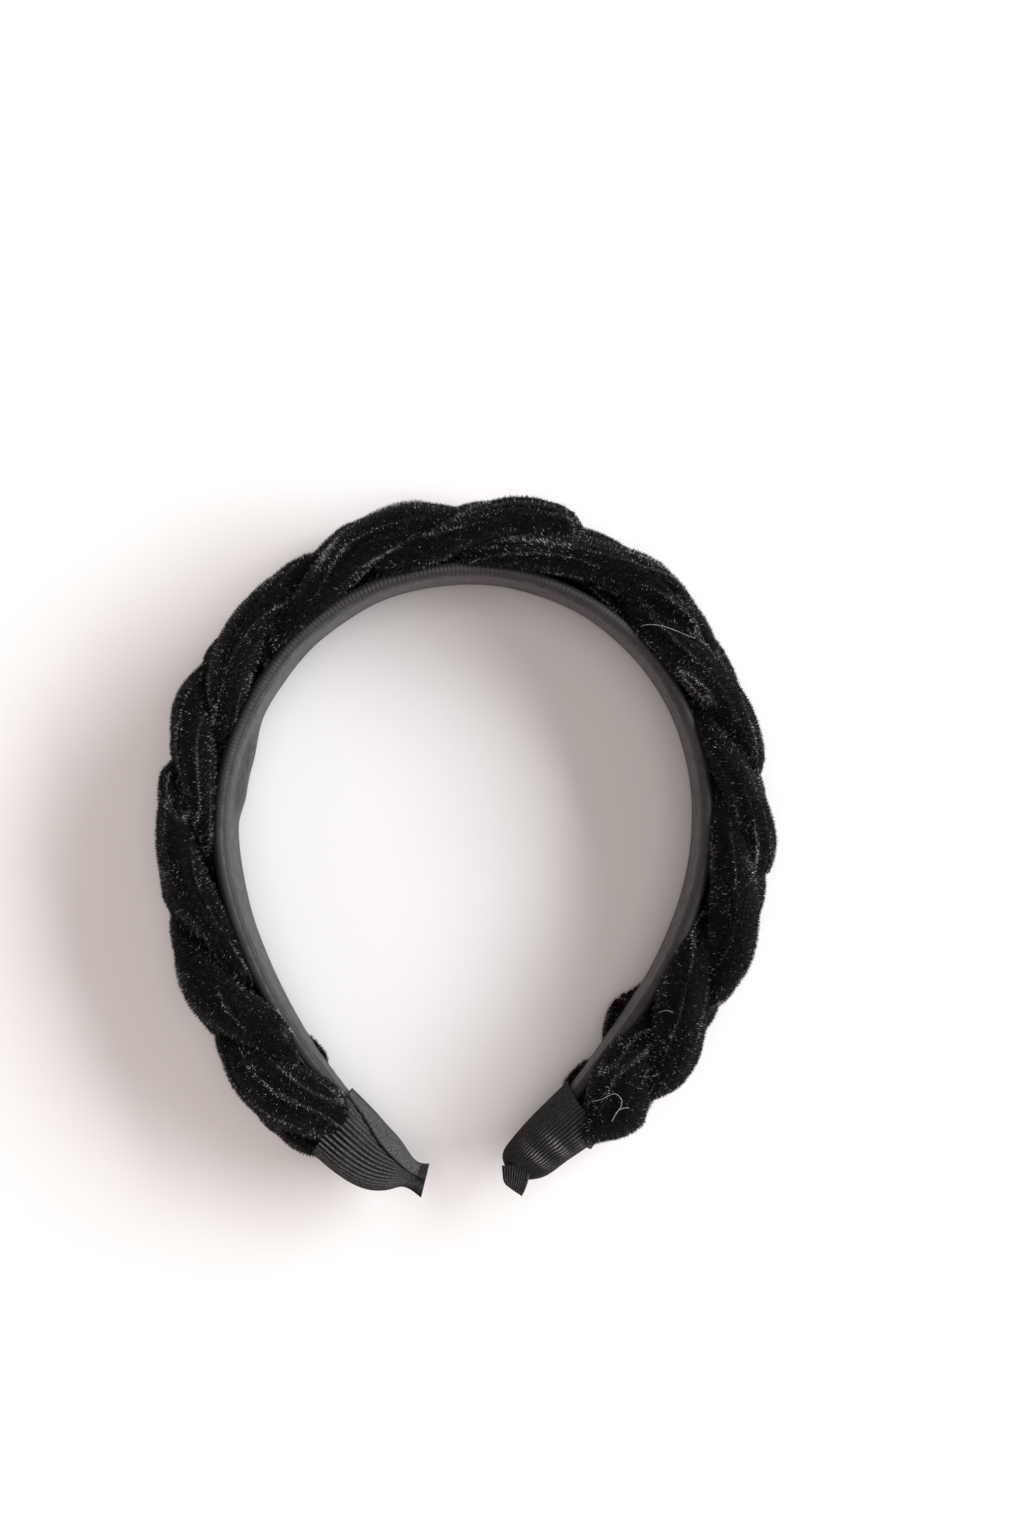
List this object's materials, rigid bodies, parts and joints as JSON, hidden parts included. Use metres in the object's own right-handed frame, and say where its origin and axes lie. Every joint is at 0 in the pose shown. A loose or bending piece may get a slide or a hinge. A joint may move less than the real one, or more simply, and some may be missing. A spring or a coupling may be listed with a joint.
{
  "type": "headband",
  "caption": "Sprung hair band with a plaited velvet cover, a satin-sleeved plastic spring and ribbon-wrapped ends, lying on its lower edge.",
  "frame": {"origin": "centre of the overall box, on the surface that the lower edge rests on", "axes": "+Y from the tips towards the crown of the arc, +Z across the band's width from the resting edge to the free edge, +X to the right when the crown points away"},
  "size_m": [0.1534, 0.1751, 0.0342],
  "materials": {
    "velvet": "black stretch velvet, short pile with a grey sheen at grazing angles",
    "satin": "charcoal polyester satin, soft directional sheen",
    "ribbon": "black grosgrain ribbon, fine ribs",
    "plastic": "matt moulded plastic spring, hidden",
    "wadding": "white polyester wadding, hidden",
    "glue": "cured black hot-melt glue, hidden, colour guessed",
    "thread": "black sewing thread, hidden"
  },
  "bodies": {
    "root": {"spring_band": "plastic", "satin_sleeve": "satin", "glue_strip": "glue", "velvet_tube_first": "velvet", "velvet_tube_second": "velvet", "velvet_tube_third": "velvet", "wadding_first": "wadding", "wadding_second": "wadding", "wadding_third": "wadding", "left_end_binding": "thread", "right_end_binding": "thread", "left_tip_glue": "glue", "right_tip_glue": "glue", "left_ribbon_wrap": "ribbon", "right_ribbon_wrap": "ribbon"}
  },
  "joints": []
}
